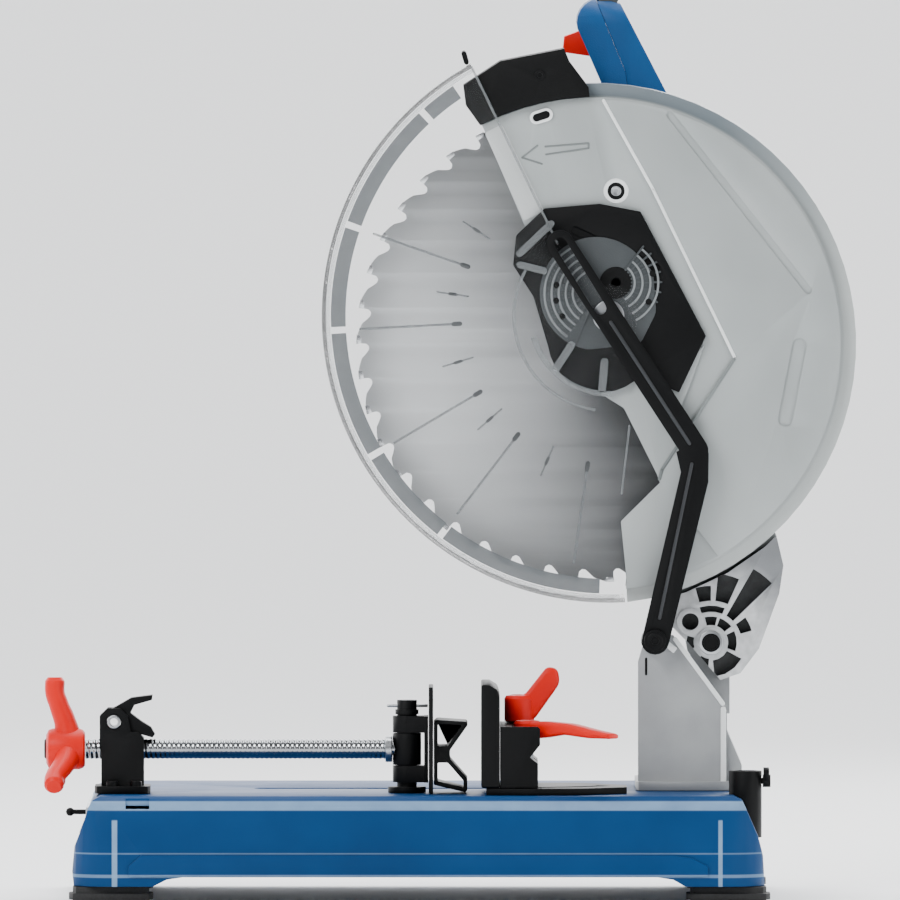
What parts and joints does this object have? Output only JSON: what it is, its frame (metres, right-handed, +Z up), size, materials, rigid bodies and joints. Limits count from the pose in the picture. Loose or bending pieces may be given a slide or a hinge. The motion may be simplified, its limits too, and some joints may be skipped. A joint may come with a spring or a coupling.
{
  "type": "metal cutting chop saw",
  "caption": "Pivoting abrasive-free metal chop saw: toothed blade under fixed and clear retracting guards, link bar, motor, screw vice and swivelling fence on a cast base.",
  "frame": {"origin": "centre of the object's box on the floor under the feet", "axes": "+Z up; the blade runs in the XZ plane; the operator and the vice handle are at -X, the head's pedestal at +X; -Y is the side with the link bar, +Y the side with the motor"},
  "size_m": [0.5156, 0.3358, 0.5795],
  "materials": {
    "blue_paint": "satin",
    "blue_moulding": "fine texture",
    "red_moulding": "semi gloss",
    "black_coat": "satin black",
    "black_moulding": "fine texture",
    "rubber": "matt",
    "silver_paint": "satin silver",
    "cast_alloy": "as cast",
    "steel": "machined",
    "chrome": "polished",
    "clear_guard": "clear polycarbonate",
    "grey_moulding": "fine texture"
  },
  "bodies": {
    "base": {"base_casting": "blue_paint", "foot_near_left": "rubber", "foot_near_right": "rubber", "foot_far_left": "rubber", "foot_far_right": "rubber", "pedestal": "cast_alloy", "hinge_pin": "steel", "return_spring": "steel", "depth_stop_screw": "steel", "rear_socket": "black_coat", "vice_bracket": "black_coat", "lever_pin": "steel", "fence_base_plate": "black_coat", "link_pivot_bolt": "black_coat"},
    "drawer": {"chip_drawer": "steel", "drawer_knob": "black_moulding"},
    "lock_pin": {"transport_lock_pin": "black_moulding"},
    "wing": {"wing_screw": "black_coat"},
    "release": {"release_lever": "black_coat"},
    "link": {"link_bar": "black_coat"},
    "jaw_slide": {"jaw_post": "black_coat", "jaw_cross_pin": "steel"},
    "screw": {"vice_screw": "chrome", "vice_handle": "red_moulding"},
    "jaw": {"jaw_yoke": "black_coat", "jaw_back_plate": "black_coat", "v_jaw": "black_coat"},
    "fence": {"fence_body": "black_coat", "fence_face": "black_coat", "fence_pivot_bolt": "black_coat"},
    "clamp_lever": {"fence_clamp_lever": "red_moulding"},
    "lock_lever": {"fence_lock_lever": "red_moulding"},
    "head": {"head_casting": "cast_alloy", "fixed_guard": "silver_paint", "guard_top_cap": "black_moulding", "hub_cover_plate": "black_coat", "hub_rib_plate": "grey_moulding", "guard_stud": "steel", "front_bearing": "chrome", "rear_bearing": "chrome", "motor_housing": "blue_moulding", "motor_end_cap": "black_moulding", "brush_cap_front": "black_moulding", "brush_cap_rear": "black_moulding", "cord_inlet": "rubber", "handle_front_shell": "blue_moulding", "handle_rear_shell": "blue_moulding"},
    "trigger_body": {"trigger": "red_moulding"},
    "button": {"lock_off_button": "grey_moulding"},
    "spindle_button": {"spindle_lock": "red_moulding"},
    "lower_guard": {"clear_guard": "clear_guard", "guard_tab": "black_moulding"},
    "rotor": {"armature": "steel"},
    "blade_set": {"blade": "steel", "spindle": "steel", "inner_flange": "steel", "outer_flange": "steel", "blade_bolt": "steel", "drive_gear": "steel"}
  },
  "joints": [
    {"name": "head_tilt", "type": "hinge", "parent": "base", "child": "head", "pos_m": [0.16561, -0.02912, 0.1619], "axis": [0, -1, 0], "range_deg": [0, 56], "stiffness_Nm_per_rad": 16, "springref_deg": -42.97},
    {"name": "guard_swing", "type": "hinge", "parent": "head", "child": "lower_guard", "pos_m": [0.10041, -0.07012, 0.3698], "axis": [0, -1, 0], "range_deg": [-98.5, 0]},
    {"name": "link_swing", "type": "hinge", "parent": "base", "child": "link", "pos_m": [0.12991, -0.07712, 0.1639], "axis": [0, -1, 0], "range_deg": [0, 66]},
    {"name": "blade_spin", "type": "hinge", "parent": "head", "child": "blade_set", "pos_m": [0.09241, -0.02912, 0.3517], "axis": [0, -1, 0], "continuous": true},
    {"name": "rotor_spin", "type": "hinge", "parent": "head", "child": "rotor", "pos_m": [0.10501, 0.07088, 0.3908], "axis": [0, -1, 0], "continuous": true},
    {"name": "trigger_pull", "type": "slide", "parent": "head", "child": "trigger_body", "axis": [0.891, 0, 0.454], "range_m": [0, 0.004], "stiffness_N_per_m": 900, "springref_m": -0.003},
    {"name": "lock_off_press", "type": "slide", "parent": "head", "child": "button", "axis": [0.475, 0, -0.88], "range_m": [0, 0.003], "stiffness_N_per_m": 500, "springref_m": -0.002},
    {"name": "spindle_lock_press", "type": "slide", "parent": "head", "child": "spindle_button", "axis": [0, -1, 0], "range_m": [0, 0.003], "stiffness_N_per_m": 500, "springref_m": -0.002},
    {"name": "vice_travel", "type": "slide", "parent": "base", "child": "jaw_slide", "axis": [1, 0, 0], "range_m": [-0.11, 0.006]},
    {"name": "screw_turn", "type": "hinge", "parent": "jaw_slide", "child": "screw", "pos_m": [-0.11929, -0.10412, 0.096], "axis": [1, 0, 0], "continuous": true},
    {"name": "jaw_swivel", "type": "hinge", "parent": "jaw_slide", "child": "jaw", "pos_m": [-0.02759, -0.10412, 0.1], "axis": [0, 0, 1], "range_deg": [-45, 45]},
    {"name": "release_lever_lift", "type": "hinge", "parent": "base", "child": "release", "pos_m": [-0.21329, -0.10412, 0.1134], "axis": [0, -1, 0], "range_deg": [0, 35], "stiffness_Nm_per_rad": 0.15, "springref_deg": -22.92},
    {"name": "fence_swivel", "type": "hinge", "parent": "base", "child": "fence", "pos_m": [0.04371, -0.06012, 0.1], "axis": [0, 0, 1], "range_deg": [0, 45]},
    {"name": "clamp_lever_turn", "type": "hinge", "parent": "fence", "child": "clamp_lever", "pos_m": [0.04371, -0.08012, 0.12], "axis": [0, 0, 1], "range_deg": [-10, 45]},
    {"name": "lock_lever_turn", "type": "hinge", "parent": "fence", "child": "lock_lever", "pos_m": [0.04871, -0.12412, 0.108], "axis": [0, 0, 1], "range_deg": [-6, 10]},
    {"name": "drawer_pull", "type": "slide", "parent": "base", "child": "drawer", "axis": [-1, 0, 0], "range_m": [0, 0.3]},
    {"name": "lock_pin_pull", "type": "slide", "parent": "base", "child": "lock_pin", "axis": [0, 1, 0], "range_m": [0, 0.01]},
    {"name": "wing_screw_turn", "type": "hinge", "parent": "base", "child": "wing", "pos_m": [0.19271, -0.12412, 0.0765], "axis": [1, 0, 0], "continuous": true}
  ],
  "couplings": [
    {"joint": "guard_swing", "follows": "head_tilt", "ratio": -1.75},
    {"joint": "link_swing", "follows": "head_tilt", "ratio": 1.17},
    {"joint": "rotor_spin", "follows": "blade_spin", "ratio": -4}
  ]
}
